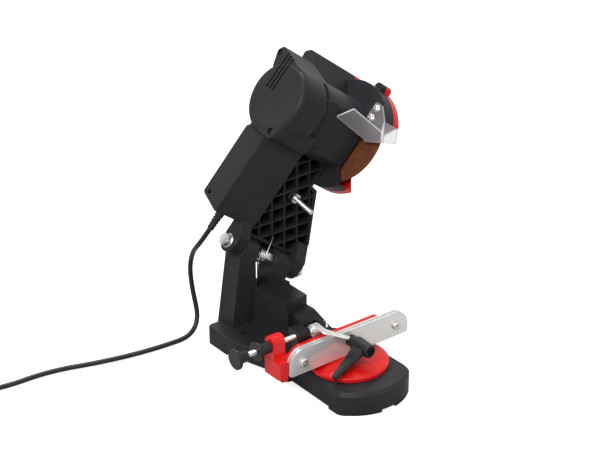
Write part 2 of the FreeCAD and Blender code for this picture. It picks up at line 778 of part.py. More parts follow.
def bearings():
    return in_head(group([bearing(-112.0), bearing(-24.0)]))


def brush_holders():
    holders = []
    for side in (-1, 1):
        holder = box(-100, -90, 12, 37.4, -4.6, 4.6).common(rod_x(-105, -85, BARREL_R - WALL))
        holder = holder.cut(box(-98, -92, 10, 32, -3.0, 3.0))
        holder.rotate(V(0, 0, 0), V(1, 0, 0), 90 - 90 * side)
        holders.append(holder)
    return in_head(group(holders))


def brushes():
    blocks = []
    for side in (-1, 1):
        block = box(-97.9, -92.1, COMMUTATOR_R + 0.1, 24, -2.9, 2.9)
        block.rotate(V(0, 0, 0), V(1, 0, 0), 90 - 90 * side)
        blocks.append(block)
    return in_head(group(blocks))


def spindle():
    shaft = rod_x(-111.8, 11.6, SPINDLE_R)
    collar = rod_x(-16.6, -6.2, 6.5)
    return in_head(fused(shaft, collar))


def slotted(drum, depth_r, width):
    """Twelve slots along a drum, from depth_r outward."""
    for k in range(12):
        slot = box(-120, 0, -width / 2, width / 2, depth_r, 40)
        slot.rotate(V(0, 0, 0), V(1, 0, 0), 30 * k)
        drum = drum.cut(slot)
    return drum


def armature():
    return in_head(slotted(ring_x(-81, -51, ARMATURE_R, SPINDLE_R), ARMATURE_R - 4, 1.6))


def armature_winding():
    ends = []
    for x0 in (-87, -50.8):
        ends.append(turned_x([(x0, 4.2, 0), (x0, 11, 3), (x0 + 5.8, 12.6, 2), (x0 + 5.8, 4.2, 0)]))
    return in_head(group(ends))


def commutator():
    return in_head(slotted(ring_x(-102, -88, COMMUTATOR_R, SPINDLE_R), COMMUTATOR_R - 1.2, 0.6))


def fan():
    hub = ring_x(-42, -31, 8, SPINDLE_R)
    disc = ring_x(-34, -32, 24, 7)
    blades = []
    for k in range(8):
        blade = box(-42, -33, -0.8, 0.8, 7.5, 23.5)
        blade.rotate(V(0, 0, 0), V(1, 0, 0), 45 * k)
        blades.append(blade)
    return in_head(fused(hub, disc, *blades))


# Wheel, flanges and guard

def wheel():
    half = WHEEL_T / 2
    rim = [(-half, WHEEL_BORE_R, 0), (-half, WHEEL_R, 0.9), (half, WHEEL_R, 0.9), (half, WHEEL_BORE_R, 0)]
    return in_head(turned_x(rim))


def inner_flange():
    half = WHEEL_T / 2
    disc = ring_x(-6.2, -half, FLANGE_R, SPINDLE_R)
    return in_head(fused(disc, ring_x(-half, half - 0.2, FLANGE_HUB_R, SPINDLE_R)))


def outer_flange():
    return in_head(ring_x(WHEEL_T / 2, 4.8, FLANGE_R, SPINDLE_R))


def wheel_nut():
    return in_head(hex_x(4.8, 11.0, 13).cut(rod_x(0, 20, SPINDLE_R)))


def polar(deg, r):
    """(y, z) at an angle up from straight forward."""
    return -r * math.cos(math.radians(deg)), r * math.sin(math.radians(deg))


def guard_bosses(x0, x1, r):
    rods = []
    for deg in GUARD_BOSS_DEG:
        rods.append(rod_x(x0, x1, r, *polar(deg, GUARD_BOSS_AT)))
    return rods


def mouth(x0, x1):
    """Open front sector of the guard."""
    low = polar(GUARD_LOW_DEG, 110)
    high = polar(GUARD_TOP_DEG, 110)
    near_low = polar(GUARD_LOW_DEG, 42)
    near_high = polar(GUARD_TOP_DEG, 56)
    corners = [
        (DRUM_FRONT_Y, -30, 0),
        (*near_low, 0),
        (*low, 0),
        (-120, 0, 0),
        (*high, 0),
        (*near_high, 0),
        (DRUM_FRONT_Y, 14, 0),
    ]
    return prism_x(corners, x0, x1)


def guard_shell():
    wall = rod_x(GUARD_LEFT_X, GUARD_LEFT_X + 2, GUARD_R)
    rim = ring_x(GUARD_LEFT_X, GUARD_SPLIT_X, GUARD_R, GUARD_R - GUARD_WALL)
    shell = fused(wall, rim, *guard_bosses(-3, GUARD_SPLIT_X, GUARD_BOSS_R))
    shell = shell.cut(rod_x(-20, 20, GUARD_R - GUARD_WALL).cut(rod_x(-20, GUARD_LEFT_X + 2, 90)))
    shell = shell.cut(mouth(-20, 20)).cut(rod_x(-20, 0, 17.0))
    shell = shell.cut(guard_bosses(-2, 20, 1.5))
    for y, z in VISOR_SCREWS:
        shell = shell.cut(rod_x(-20, 0, 2.05, y, z))
    return in_head(shell)


def guard_cover():
    x0 = GUARD_SPLIT_X + 0.2
    wall = rod_x(GUARD_RIGHT_X - 2, GUARD_RIGHT_X, GUARD_R)
    rim = ring_x(x0, GUARD_RIGHT_X, GUARD_R, GUARD_R - GUARD_WALL)
    lobe = prism_x(HUMP[:4] + [(30, 20, 0)], x0, GUARD_RIGHT_X).cut(rod_x(0, 20, GUARD_R - 0.5))
    cover = fused(wall, rim, lobe, *guard_bosses(x0, GUARD_RIGHT_X, GUARD_BOSS_R))
    hollow = rod_x(-20, GUARD_RIGHT_X - 2, GUARD_R - GUARD_WALL)
    cover = cover.cut(hollow).cut(mouth(-20, 20))
    return in_head(cover.cut(guard_bosses(0, 20, 1.8)))


def guard_screws():
    screws = []
    for deg in GUARD_BOSS_DEG:
        at = (GUARD_RIGHT_X, *polar(deg, GUARD_BOSS_AT))
        screws.append(aimed(pan_screw(1.5, 14, 3.4, 2.2), at, (1, 0, 0)))
    return in_head(group(screws))


def plate_between(points, thick):
    """Flat plate on a loop of points, thickened towards the side its order turns about."""
    face = Part.Face(Part.makePolygon(points + [points[0]]))
    normal = unit((points[1] - points[0]).cross(points[2] - points[1]))
    return face.extrude(normal * thick)


def visor():
    """Side tab on the guard, a wing out over the drum and a skirt across the wheel's rim."""
    x1 = GUARD_LEFT_X - 0.2
    x0 = x1 - VISOR_T
    outline = [(-22.5, 51.5, 2), (-33.5, 51.5, 2), (-48.5, 39.5, 1), (-64.5, 20.5, 0)]
    outline += [(-40, 9.5, 0), (-28.6, 22, 0), (-28.6, 29, 0), (-22.5, 33.8, 1)]
    tab = prism_x(outline, x0, x1)
    near = V(x0 + 0.5, -38.5, 10.8)
    far = V(-54.6, -29.5, 16.4)
    up = V(0, -15.2, 17.3)
    wing = plate_between([near + up, near, far, far + up], VISOR_T)
    top = V(x0, -49.5, 39.7)
    low = V(x0, -64.5, 20.5)
    across = V(GUARD_RIGHT_X - 2 - x0, 0, 0)
    lift = (top - low) * 0.3
    skirt = plate_between([top + across, low + across + lift, low, top], VISOR_T)
    clear = fused(tab, wing, skirt)
    for y, z in VISOR_SCREWS:
        clear = clear.cut(rod_x(-20, 0, 2.3, y, z))
    return in_head(clear)


def visor_screws():
    screws = []
    x0 = GUARD_LEFT_X - 0.2 - VISOR_T
    for y, z in VISOR_SCREWS:
        washer = rod_z(0, 0.9, 5.0).cut(rod_z(-1, 2, 2.0))
        head = pan_screw(2.0, 8.3, 3.9, 2.8)
        head.translate(V(0, 0, 0.9))
        screws.append(aimed(fused(head, washer), (x0, y, z), (-1, 0, 0)))
    return in_head(group(screws))


def visor_nuts():
    nuts = []
    x0 = GUARD_LEFT_X + 2.0
    for y, z in VISOR_SCREWS:
        nuts.append(hex_x(x0, x0 + 3.0, 7, y, z).cut(rod_x(x0 - 1, x0 + 5, 2.0, y, z)))
    return in_head(group(nuts))


# Depth stop through the arm's web

def depth_screw():
    x, z = DEPTH_AT
    stem = rod_y(-47, 26, 3.0, x, z)
    return in_head(stem.makeChamfer(0.6, [e for e in stem.Edges if e.Length > 10 and e.Closed]))


def depth_knob():
    x, z = DEPTH_AT
    knob = rod_y(26.3, 38, 9.5, x, z)
    for k in range(10):
        turn = math.radians(36 * k)
        knob = knob.cut(rod_y(20, 50, 1.6, x + 9.9 * math.cos(turn), z + 9.9 * math.sin(turn)))
    return in_head(knob)


def depth_lock_nut():
    x, z = DEPTH_AT
    y1 = WEB_Y[0] + 0.9
    return in_head(hex_y(y1 - 5, y1, 10, x, z).cut(rod_y(y1 - 6, y1 + 1, 3.05, x, z)))


# Chain vise

def table_disc():
    r = TABLE_R
    dome = [(0, 25.4, 0), (r, 25.4, 0), (r, 29.5, 1.5), (34, 33.4, 14), (16, 35.4, 20), (0, 35.6, 0)]
    shelf = [(0, 26, 0), (r - 1.6, 26, 0), (r - 1.6, 30.6, 2), (30, 34.9, 10), (0, 35.1, 0)]
    step = prism_z([(4, -8, 0), (36, -8, 3), (30, -34, 6), (4, -41, 2)], 26, 36)
    return turned_z(dome).fuse(step.common(turned_z(shelf)))


def turntable():
    wall = [(-72, 33, 0), (54, 33, 3), (54, 50, 3), (44, 64.2, 8)]
    wall += [(-60, 64.2, 6), (-74, 57, 4), (-74, 33, 0)]
    back = prism_y(wall, 3.4, 9)
    saddle = prism_x([(3.4, 28, 0), (28, 28, 3), (22, 40, 6), (9, 54, 4), (3.4, 54, 0)], -34, 34)
    block = prism_y([(-91, 34, 3), (-72, 34, 0), (-72, 57, 2), (-91, 57, 3)], 3.4, 23.5)
    cheek = prism_y([(-91, 34, 4), (-80.9, 34, 3), (-80.9, 56, 2), (-91, 56, 3)], -3, 4)
    hook = prism_x([(8.6, 50, 0), (23.6, 50, 0), (23.6, 79, 6), (8.6, 79, 7)], -90.5, -76)
    rail = box(-64, -18, 9, 13.5, 55.5, 59.8)
    nut_way = box(-7.6, 7.6, 9.2, 30, STUD_Z - 6.6, STUD_Z + 14)
    body = fused(table_disc(), back, saddle, block, cheek, hook, rail)
    body = body.cut(rod_x(-100, -60, 3.08, STOP_Y, STOP_Z))
    body = body.cut(rod_y(-10, 40, STUD_R + 0.3, 0, STUD_Z))
    body = body.cut(nut_way)
    body = body.cut(rod_y(-10, 30, 2.5, -JAW_SCREW[0], JAW_SCREW[1]))
    body = body.cut(rod_z(0, 33.5, SPINDLE_R))
    return on_table(body)


def jaw_outline():
    z0, z1 = PLATE_Z
    return [(-PLATE_X, z0, 4), (PLATE_X, z0, 4), (PLATE_X, z1, 19), (-PLATE_X, z1, 19)]


def jaw(y0):
    plate = prism_y(jaw_outline(), y0, y0 + PLATE_T)
    plate = plate.cut(rod_y(-20, 20, STUD_R + 0.3, 0, STUD_Z))
    for x in (-JAW_SCREW[0], JAW_SCREW[0]):
        plate = plate.cut(rod_y(-20, 20, 2.8, x, JAW_SCREW[1]))
    return on_table(plate)


def front_jaw():
    return jaw(-CHAIN_GAP / 2 - PLATE_T)


def rear_jaw():
    return jaw(CHAIN_GAP / 2)


def jaw_screws():
    screws = []
    y0 = -CHAIN_GAP / 2 - PLATE_T - 0.35
    for x in (-JAW_SCREW[0], JAW_SCREW[0]):
        length = 15 if x < 0 else 11.5
        screws.append(aimed(pan_screw(2.5, length, 4.6, 2.6), (x, y0, JAW_SCREW[1]), (0, -1, 0)))
    return on_table(group(screws))


def clamp_stud():
    return on_table(rod_y(-29, 17, STUD_R, 0, STUD_Z))


def vise_nuts():
    stud_nut = hex_y(9.2, 15.7, 13, 0, STUD_Z).cut(rod_y(8, 17, STUD_R, 0, STUD_Z))
    x, z = JAW_SCREW
    jaw_nut = hex_y(3.3, 7.3, 8, x, z).cut(rod_y(2, 9, 2.5, x, z))
    return on_table(group([stud_nut, jaw_nut]))


def lever_section(at, along, wide, thick):
    """Closed outline square to the lever arm: wide runs with the hub, thick across it."""
    depth = V(0, 1, 0)
    side = unit(along.cross(depth))
    w = wide / 2
    t = thick / 2
    c = 0.35 * thick
    ring = [(-w, -t + c), (-w, t - c), (-w + c, t), (w - c, t)]
    ring += [(-u, -v) for u, v in ring]
    points = [at + depth * u + side * v for u, v in ring]
    return Part.makePolygon(points + [points[0]])


def clamp_lever():
    hub_mid = V(0, -21, STUD_Z)
    tip = V(*LEVER_TIP)
    along = unit(tip - hub_mid)
    arm = Part.makeLoft(
        [
            lever_section(hub_mid, along, 21, 11),
            lever_section(hub_mid + along * 17, along, 14, 8.5),
            lever_section(tip, along, 7, 5.5),
        ],
        True,
        True,
    )
    profile = [(0, -35, 0), (7.2, -35, 1.2), (8.4, -14, 2), (6.4, -9, 2), (6.4, -3.7, 0), (0, -3.7, 0)]
    hub = rounded(profile, lambda r, y: V(r, y, STUD_Z)).revolve(V(0, 0, STUD_Z), V(0, 1, 0), 360)
    lever = fused(hub, arm)
    lever = lever.cut(rod_y(-29.3, 0, STUD_R + 0.05, 0, STUD_Z))
    lever = lever.cut(rod_y(-40, -31, 4.8, 0, STUD_Z))
    return on_table(lever)


def lever_screw():
    head = rod_y(-33.2, -31, 4.5, 0, STUD_Z)
    return on_table(head.cut(hex_y(-33.3, -31.7, 4, 0, STUD_Z)))


def table_stud():
    return on_table(rod_z(6.5, 33.5, SPINDLE_R))


def lock_knob():
    knob = rod_z(4, 8.4, 14).fuse(rod_z(4, 8.7, 7))
    for k in range(8):
        turn = math.radians(45 * k)
        knob = knob.cut(rod_z(0, 20, 3, 15.2 * math.cos(turn), 15.2 * math.sin(turn)))
    return on_table(knob.cut(rod_z(6.4, 20, SPINDLE_R + 0.05)))


# Chain stop and its adjuster

def stop_carriage():
    block = box(-58, -45, 10.4, 21.6, 60.2, 75)
    arm = box(-58, -22, 22.5, 26.4, 61, 75)
    ear = box(-26, -22, 10.4, 26.4, 61, 75)
    runner = box(-58, -45, 13.9, 21.6, 56, 61)
    heel = box(-58, -45, 21, 23, 61, 75)
    body = fused(block, heel, arm, ear, runner)
    body = body.cut(rod_x(-60, -47, 3.06, STOP_Y, STOP_Z))
    body = body.cut(rod_x(-30, -20, 2.5, STOP_Y, STOP_Z))
    return on_table(body)


def pawl_bolt():
    head = hex_x(-40.6, -37.0, 8, STOP_Y, STOP_Z)
    shoulder = rod_x(-37.0, -26.0, 4.4, STOP_Y, STOP_Z)
    tail = rod_x(-26.0, -17.5, 2.5, STOP_Y, STOP_Z)
    return on_table(fused(head, shoulder, tail))


def pawl_nut():
    return on_table(hex_x(-21.8, -17.9, 8, STOP_Y, STOP_Z).cut(rod_x(-30, -10, 2.5, STOP_Y, STOP_Z)))


def pawl():
    inner = 4.45
    outer = 6.05
    loop = ring_x(-36.6, -28.4, outer, inner, STOP_Y, STOP_Z)
    blade_plan = [(-36.6, STOP_Y, 0), (-28.4, STOP_Y, 0), (-27.8, 5, 6)]
    blade_plan += [(-12.6, -17.5, 1.2), (-16.2, -19.2, 1.2), (-34, 2, 8)]
    blade = prism_z(blade_plan, STOP_Z + inner, STOP_Z + outer)
    tail = box(-36.6, -28.4, STOP_Y - 4.5, STOP_Y, STOP_Z - outer, STOP_Z - inner)
    strip = fused(loop, blade, tail).cut(rod_x(-50, -20, inner, STOP_Y, STOP_Z))
    strip.rotate(V(0, STOP_Y, STOP_Z), V(1, 0, 0), 11.0)
    return on_table(strip)


def adjust_screw():
    return on_table(rod_x(-121, -47.6, 3.0, STOP_Y, STOP_Z))


def adjust_knob():
    side = [(-134, 0, 0), (-134, 11, 1), (-130.5, 11, 1), (-130, 6.6, 0.6), (-119, 6.2, 1), (-119, 0, 0)]
    knob = turned_x(side)
    knob.translate(V(0, STOP_Y, STOP_Z))
    return on_table(knob.cut(rod_x(-121, -100, 3.0, STOP_Y, STOP_Z)))


def stop_lock_nut():
    side = [(-108, 3.05, 0), (-108, 10, 1), (-104.5, 10, 1)]
    side += [(-104, 6.8, 0.6), (-91.4, 6.4, 1), (-91.4, 3.05, 0)]
    nut = turned_x(side)
    nut.translate(V(0, STOP_Y, STOP_Z))
    return on_table(nut)


# Mains lead: strain relief, hanging and lying stretch, put-away coil with a tie, and the plug

def strain_relief():
    x, y = STRAIN_AT
    tip = STRAIN_TIP_Z
    sleeve = turned_z([(0, tip, 0), (3.7, tip, 0.6), (4.9, -137.5, 0), (4.9, -135.6, 0), (0, -135.6, 0)])
    sleeve = fused(sleeve, rod_z(-136, -127.4, 4.0), rod_z(-129.8, -127.4, 5.5))
    for k in range(4):
        z = tip + 3.6 + 3.6 * k
        sleeve = sleeve.cut(rod_z(z, z + 1.4, 8).cut(rod_z(z - 1, z + 3, 3.35)))
    sleeve.translate(V(x, y, 0))
    return in_head(sleeve.cut(rod_z(tip - 5, -110, CORD_D / 2 + 0.05, x, y)))


def coil_stations():
    """Spiral in on the bench, up a layer in the half turn at the middle, and out again."""
    inward, outward = COIL_QUARTERS
    rate = COIL_PITCH / 4
    middle = V(COIL_AT[0], COIL_AT[1], CORD_LIES)
    layers = [(0, inward, COIL_INNER_R + inward * rate, -rate, 0.0)]
    layers.append((inward + 2, outward, COIL_INNER_R, rate, COIL_LIFT))
    stations = []
    for first, quarters, r0, grow, lift in layers:
        for k in range(quarters + 1):
            turn = math.radians(COIL_START_DEG) - math.pi / 2 * (first + k)
            out = V(math.cos(turn), math.sin(turn), 0)
            on = V(math.sin(turn), -math.cos(turn), 0)
            r = r0 + grow * k
            way = unit(on * r + out * (grow / (math.pi / 2)))
            stations.append((middle + out * r + V(0, 0, lift), way))
    return stations


def cord_route():
    inside = HEAD.multVec(V(STRAIN_AT[0], STRAIN_AT[1], STRAIN_TIP_Z + 17))
    clear = HEAD.multVec(V(STRAIN_AT[0], STRAIN_AT[1], STRAIN_TIP_Z - 17))
    coil, way = coil_stations()[0]
    return [inside, clear] + [V(*p) for p in CORD_POINTS] + [coil - way * COIL_RUN_IN, coil]


def cord_free():
    edges, radii = eased_route(cord_route())
    length = sum(e.Length for e in edges)
    lead = tube(edges, CORD_D / 2)
    section = math.pi * CORD_D * CORD_D / 4
    print("lead bend radii", [round(r) for r in radii], "mm")
    print("free lead", round(length), "mm, volume ratio", round(lead.Volume / section / length, 3))
    return lead


def cord_coil():
    stations = coil_stations()
    last, way = stations[-1]
    edges = through(stations) + [Part.makeLine(last, last + way * PLUG_LEAD)]
    length = sum(e.Length for e in edges)
    print("coil length", round(length), "mm, least gap", round(least_gap(edges, CORD_D), 2), "mm")
    return tube(edges, CORD_D / 2)


def at_plug(shape):
    last, way = coil_stations()[-1]
    across = V(-way.y, way.x, 0)
    start = last + way * PLUG_LEAD
    rows = []
    for k in range(3):
        rows += [across[k], V(0, 0, 1)[k], way[k], start[k]]
    moved = shape.copy()
    moved.Placement = FreeCAD.Placement(FreeCAD.Matrix(*rows, 0, 0, 0, 1)).multiply(moved.Placement)
    return moved


def plug_body():
    neck = turned_z([(0, 0, 0), (4.2, 0, 0.8), (6.6, 18, 3), (7.6, 26, 0), (0, 26, 0)])
    grip = prism_z([(-17, -7.6, 6), (17, -7.6, 6), (17, 7.6, 6), (-17, 7.6, 6)], 24, 40)
    return at_plug(fused(neck, grip))


def plug_pins():
    pins = []
    for x in (-9.5, 9.5):
        pin = turned_z([(0, 40, 0), (2.4, 40, 0), (2.4, 59, 1.6), (0, 59, 0)])
        pins.append(pin.translated(V(x, 0, 0)))
    return at_plug(group(pins))


def cord_tie():
    """Flat strap round one side of the coil."""
    middle = V(COIL_AT[0], COIL_AT[1], 0)
    outer_r = COIL_INNER_R + COIL_QUARTERS[0] * COIL_PITCH / 4
    r0 = COIL_INNER_R - CORD_D / 2 - 1.0
    r1 = outer_r + CORD_D / 2 + 1.0
    top = CORD_LIES + COIL_LIFT + CORD_D / 2 + 0.6
    strap = box(r0 - 1.2, r1 + 1.2, -4, 4, 0.05, top + 1.2).cut(box(r0, r1, -6, 6, CORD_FLOOR, top))
    strap.rotate(V(0, 0, 0), V(0, 0, 1), 60)
    strap.translate(middle)
    return strap


NODES = {
    "base": base,
    "pivot_bolt": pivot_bolt,
    "pivot_washers": pivot_washers,
    "pivot_nuts": pivot_nuts,
    "spring_sleeve": spring_sleeve,
    "lift_spring": lift_spring,
    "head_body": head_body,
    "end_cap": end_cap,
    "cap_screws": cap_screws,
    "box_cover": box_cover,
    "cover_screws": cover_screws,
    "switch_body": switch_body,
    "rocker": rocker,
    "stator": stator,
    "field_coils": field_coils,
    "bearings": bearings,
    "brush_holders": brush_holders,
    "brushes": brushes,
    "spindle": spindle,
    "armature": armature,
    "armature_winding": armature_winding,
    "commutator": commutator,
    "fan": fan,
    "wheel": wheel,
    "inner_flange": inner_flange,
    "outer_flange": outer_flange,
    "wheel_nut": wheel_nut,
    "guard_shell": guard_shell,
    "guard_cover": guard_cover,
    "guard_screws": guard_screws,
    "visor": visor,
    "visor_screws": visor_screws,
    "visor_nuts": visor_nuts,
    "depth_screw": depth_screw,
    "depth_knob": depth_knob,
    "depth_lock_nut": depth_lock_nut,
    "turntable": turntable,
    "front_jaw": front_jaw,
    "rear_jaw": rear_jaw,
    "jaw_screws": jaw_screws,
    "clamp_stud": clamp_stud,
    "vise_nuts": vise_nuts,
    "clamp_lever": clamp_lever,
    "lever_screw": lever_screw,
    "table_stud": table_stud,
    "lock_knob": lock_knob,
    "stop_carriage": stop_carriage,
    "pawl_bolt": pawl_bolt,
    "pawl_nut": pawl_nut,
    "pawl": pawl,
    "adjust_screw": adjust_screw,
    "adjust_knob": adjust_knob,
    "stop_lock_nut": stop_lock_nut,
    "strain_relief": strain_relief,
    "cord_free": cord_free,
    "cord_coil": cord_coil,
    "cord_tie": cord_tie,
    "plug_body": plug_body,
    "plug_pins": plug_pins,
}

os.makedirs("parts", exist_ok=True)
for name, make in NODES.items():
    shape = make()
    shape.exportStep("parts/" + name + ".step")
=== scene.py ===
import json
import math

import bpy
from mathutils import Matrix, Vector
from mathutils.bvhtree import BVHTree


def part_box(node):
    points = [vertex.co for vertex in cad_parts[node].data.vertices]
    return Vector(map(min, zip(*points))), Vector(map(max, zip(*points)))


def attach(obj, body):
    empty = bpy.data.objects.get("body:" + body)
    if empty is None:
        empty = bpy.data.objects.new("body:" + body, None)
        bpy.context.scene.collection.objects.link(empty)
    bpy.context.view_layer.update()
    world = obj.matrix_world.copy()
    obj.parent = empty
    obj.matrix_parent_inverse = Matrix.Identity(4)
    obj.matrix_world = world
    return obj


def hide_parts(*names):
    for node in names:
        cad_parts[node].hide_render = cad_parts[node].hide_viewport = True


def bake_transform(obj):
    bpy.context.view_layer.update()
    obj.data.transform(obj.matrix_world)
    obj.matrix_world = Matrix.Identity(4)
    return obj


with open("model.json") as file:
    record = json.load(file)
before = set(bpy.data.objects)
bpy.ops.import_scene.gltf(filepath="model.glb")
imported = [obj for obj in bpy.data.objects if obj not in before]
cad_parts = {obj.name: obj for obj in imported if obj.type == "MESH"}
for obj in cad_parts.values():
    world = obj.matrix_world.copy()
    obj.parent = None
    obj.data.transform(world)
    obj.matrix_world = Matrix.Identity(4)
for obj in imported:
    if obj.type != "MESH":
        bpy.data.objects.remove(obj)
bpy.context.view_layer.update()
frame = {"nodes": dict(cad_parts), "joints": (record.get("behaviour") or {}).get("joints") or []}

# The studio: a pale seamless floor, a white surround and three soft boxes.
# The camera stands to the operator's front left and a little above the motor, as in the photograph.

scene = bpy.context.scene
scene.view_settings.view_transform = "Standard"

CAMERA_AT = Vector((-0.8465, -1.0884, 0.8004))
CAMERA_TARGET = Vector((-0.0639, -0.085, 0.2024))
LENS_MM = 87.0
SENSOR_MM = 36.0
FLOOR_WHITE = "#c6c6c5"
FLOOR_HALF = 4.0
FLOOR_TOOTH_MM = 400.0
FLOOR_GLOW = 0.76
SURROUND_GREY = "#dfe0e3"
SURROUND_STRENGTH = 0.32
LIGHT_TARGET = Vector((0.0, 0.0, 0.15))
SOFT_BOXES = [
    ("key", (-1.3, -0.9, 1.7), 1.1, 37.0),
    ("front_fill", (0.6, -1.8, 1.0), 1.2, 3.0),
    ("top_back", (0.3, 0.7, 1.8), 1.0, 27.0),
]


def linear(hex_colour):
    """sRGB hex to the linear colour that sockets hold."""
    steps = [int(hex_colour[i : i + 2], 16) / 255 for i in (1, 3, 5)]
    return [s / 12.92 if s <= 0.04045 else ((s + 0.055) / 1.055) ** 2.4 for s in steps] + [1.0]


def add(tree, kind, inputs=None, **settings):
    """One node: settings are its properties, inputs its sockets, each a value or another node's output."""
    node = tree.nodes.new(kind)
    for name, value in settings.items():
        setattr(node, name, value)
    for name, value in (inputs or {}).items():
        if isinstance(value, bpy.types.NodeSocket):
            tree.links.new(value, node.inputs[name])
        else:
            node.inputs[name].default_value = value
    return node


def blank(name):
    """A new material with an empty node tree."""
    material = bpy.data.materials.new(name)
    material.use_nodes = True
    material.node_tree.nodes.clear()
    return material, material.node_tree


def seen_straight(tree, *kinds):
    """1 for the camera's rays and the other kinds given, which see the background, and 0 for the rest."""
    ray = add(tree, "ShaderNodeLightPath")
    seen = ray.outputs["Is Camera Ray"]
    for kind in kinds:
        seen = add(tree, "ShaderNodeMath", {0: seen, 1: ray.outputs[kind]}, operation="MAXIMUM").outputs[0]
    return seen


camera = bpy.data.objects.new("camera", bpy.data.cameras.new("camera"))
scene.collection.objects.link(camera)
camera.data.lens = LENS_MM
camera.data.sensor_width = SENSOR_MM
camera.location = CAMERA_AT
camera.rotation_euler = (CAMERA_TARGET - CAMERA_AT).to_track_quat("-Z", "Y").to_euler()
scene.camera = camera

world = bpy.data.worlds.new("surround")
world.use_nodes = True
scene.world = world
tree = world.node_tree
tree.nodes.clear()
soft = add(tree, "ShaderNodeBackground", {"Color": linear(SURROUND_GREY), "Strength": SURROUND_STRENGTH})
white = add(tree, "ShaderNodeBackground", {"Color": linear("#ffffff"), "Strength": 1.0})
seen = seen_straight(tree, "Is Glossy Ray", "Is Transmission Ray")
mixed = add(tree, "ShaderNodeMixShader", {0: seen, 1: soft.outputs[0], 2: white.outputs[0]})
add(tree, "ShaderNodeOutputWorld", {"Surface": mixed.outputs[0]})

# Matt white sheet: even and nearly without texture; its glow for the camera keeps it white to the
# top of the picture, and the object's shadow stays in what it scatters.
material, tree = blank("matt_white_sheet")
tooth = add(tree, "ShaderNodeTexNoise", {"Scale": 1000 / FLOOR_TOOTH_MM, "Detail": 2.0})
rough = add(tree, "ShaderNodeMapRange", {"Value": tooth.outputs["Fac"], "To Min": 0.6, "To Max": 0.7})
paper = add(
    tree,
    "ShaderNodeBsdfPrincipled",
    {"Base Color": linear(FLOOR_WHITE), "Roughness": rough.outputs[0], "Specular IOR Level": 0.1},
)
dark = add(tree, "ShaderNodeEmission", {"Strength": 0.0})
bright = add(tree, "ShaderNodeEmission", {"Color": linear("#ffffff"), "Strength": FLOOR_GLOW})
seen = seen_straight(tree, "Is Transmission Ray")
glow = add(tree, "ShaderNodeMixShader", {0: seen, 1: dark.outputs[0], 2: bright.outputs[0]})
lifted = add(tree, "ShaderNodeAddShader", {0: paper.outputs[0], 1: glow.outputs[0]})
add(tree, "ShaderNodeOutputMaterial", {"Surface": lifted.outputs[0]})
floor_mesh = bpy.data.meshes.new("floor")
corners = [(-1, -1), (1, -1), (1, 1), (-1, 1)]
floor_mesh.from_pydata([(x * FLOOR_HALF, y * FLOOR_HALF, 0) for x, y in corners], [], [(0, 1, 2, 3)])
floor_mesh.materials.append(material)
floor = bpy.data.objects.new("floor", floor_mesh)
scene.collection.objects.link(floor)

for name, at, size, watts in SOFT_BOXES:
    lamp = bpy.data.lights.new(name, "AREA")
    lamp.size = size
    lamp.energy = watts
    soft_box = bpy.data.objects.new(name, lamp)
    soft_box.location = at
    soft_box.rotation_euler = (LIGHT_TARGET - Vector(at)).to_track_quat("-Z", "Y").to_euler()
    scene.collection.objects.link(soft_box)

# The base: one hollow moulding with a round front platform, a spine and two pillars for the pivot.
# Injection-moulded black ABS out of a spark-eroded mould; four bench bolts hold it down by its ears.

PLASTIC_IOR = 1.54
CLOUD_MM = 45.0
# The edges' rounding, which also sets how wide the painted edge highlight is.
EDGE_ROUND_AND_HIGHLIGHT = 0.0009
SKIN_RELIEF = 0.0002
NOISE_SPAN = {"From Min": 0.3, "From Max": 0.7}


def dress(material, *nodes):
    """Gives CAD nodes their finish."""
    for name in nodes:
        mesh = frame["nodes"][name].data
        mesh.materials.clear()
        mesh.materials.append(material)


def moulded(name, deep, pale, rough, skin_mm, bump, shine=0.3):
    """Moulded plastic: flow clouds in tone and gloss, a grained skin, and a painted highlight that makes
    the edges a little paler.
    """
    material, tree = blank(name)
    place = add(tree, "ShaderNodeTexCoord").outputs["Object"]
    cloud = add(tree, "ShaderNodeTexNoise", {"Vector": place, "Scale": 1000 / CLOUD_MM, "Detail": 4.0})
    skin = add(tree, "ShaderNodeTexNoise", {"Vector": place, "Scale": 1000 / skin_mm, "Detail": 3.0})
    round_edge = add(tree, "ShaderNodeBevel", {"Radius": EDGE_ROUND_AND_HIGHLIGHT}, samples=4)
    face = add(tree, "ShaderNodeNewGeometry")
    turn = add(
        tree,
        "ShaderNodeVectorMath",
        {0: round_edge.outputs[0], 1: face.outputs["Normal"]},
        operation="DOT_PRODUCT",
    )
    # Painted highlight: where the rounded normal turns away from the face, the colour goes up to halfway
    # to the pale tone.
    edge = add(
        tree,
        "ShaderNodeMapRange",
        {"Value": turn.outputs["Value"], "From Min": 0.99, "From Max": 0.86, "To Max": 0.5},
    )
    tone = add(tree, "ShaderNodeMapRange", {"Value": cloud.outputs["Fac"], **NOISE_SPAN, "To Max": 0.35})
    # The flow clouds' tone, with the painted edge highlight laid over it.
    tone_and_edge_highlight = add(tree, "ShaderNodeMath", {0: tone.outputs[0], 1: edge.outputs[0]}, operation="MAXIMUM")
    colour = add(
        tree,
        "ShaderNodeMix",
        {0: tone_and_edge_highlight.outputs[0], 6: linear(deep), 7: linear(pale)},
        data_type="RGBA",
    )
    gloss = add(
        tree,
        "ShaderNodeMapRange",
        {"Value": cloud.outputs["Fac"], **NOISE_SPAN, "To Min": rough - 0.04, "To Max": rough + 0.06},
    )
    relief = add(
        tree,
        "ShaderNodeBump",
        {
            "Height": skin.outputs["Fac"],
            "Normal": round_edge.outputs[0],
            "Strength": bump,
            "Distance": SKIN_RELIEF,
        },
    )
    shell = add(
        tree,
        "ShaderNodeBsdfPrincipled",
        {
            "Base Color": colour.outputs[2],
            "Roughness": gloss.outputs[0],
            "Normal": relief.outputs[0],
            "IOR": PLASTIC_IOR,
            "Specular IOR Level": shine,
        },
    )
    add(tree, "ShaderNodeOutputMaterial", {"Surface": shell.outputs[0]})
    return material


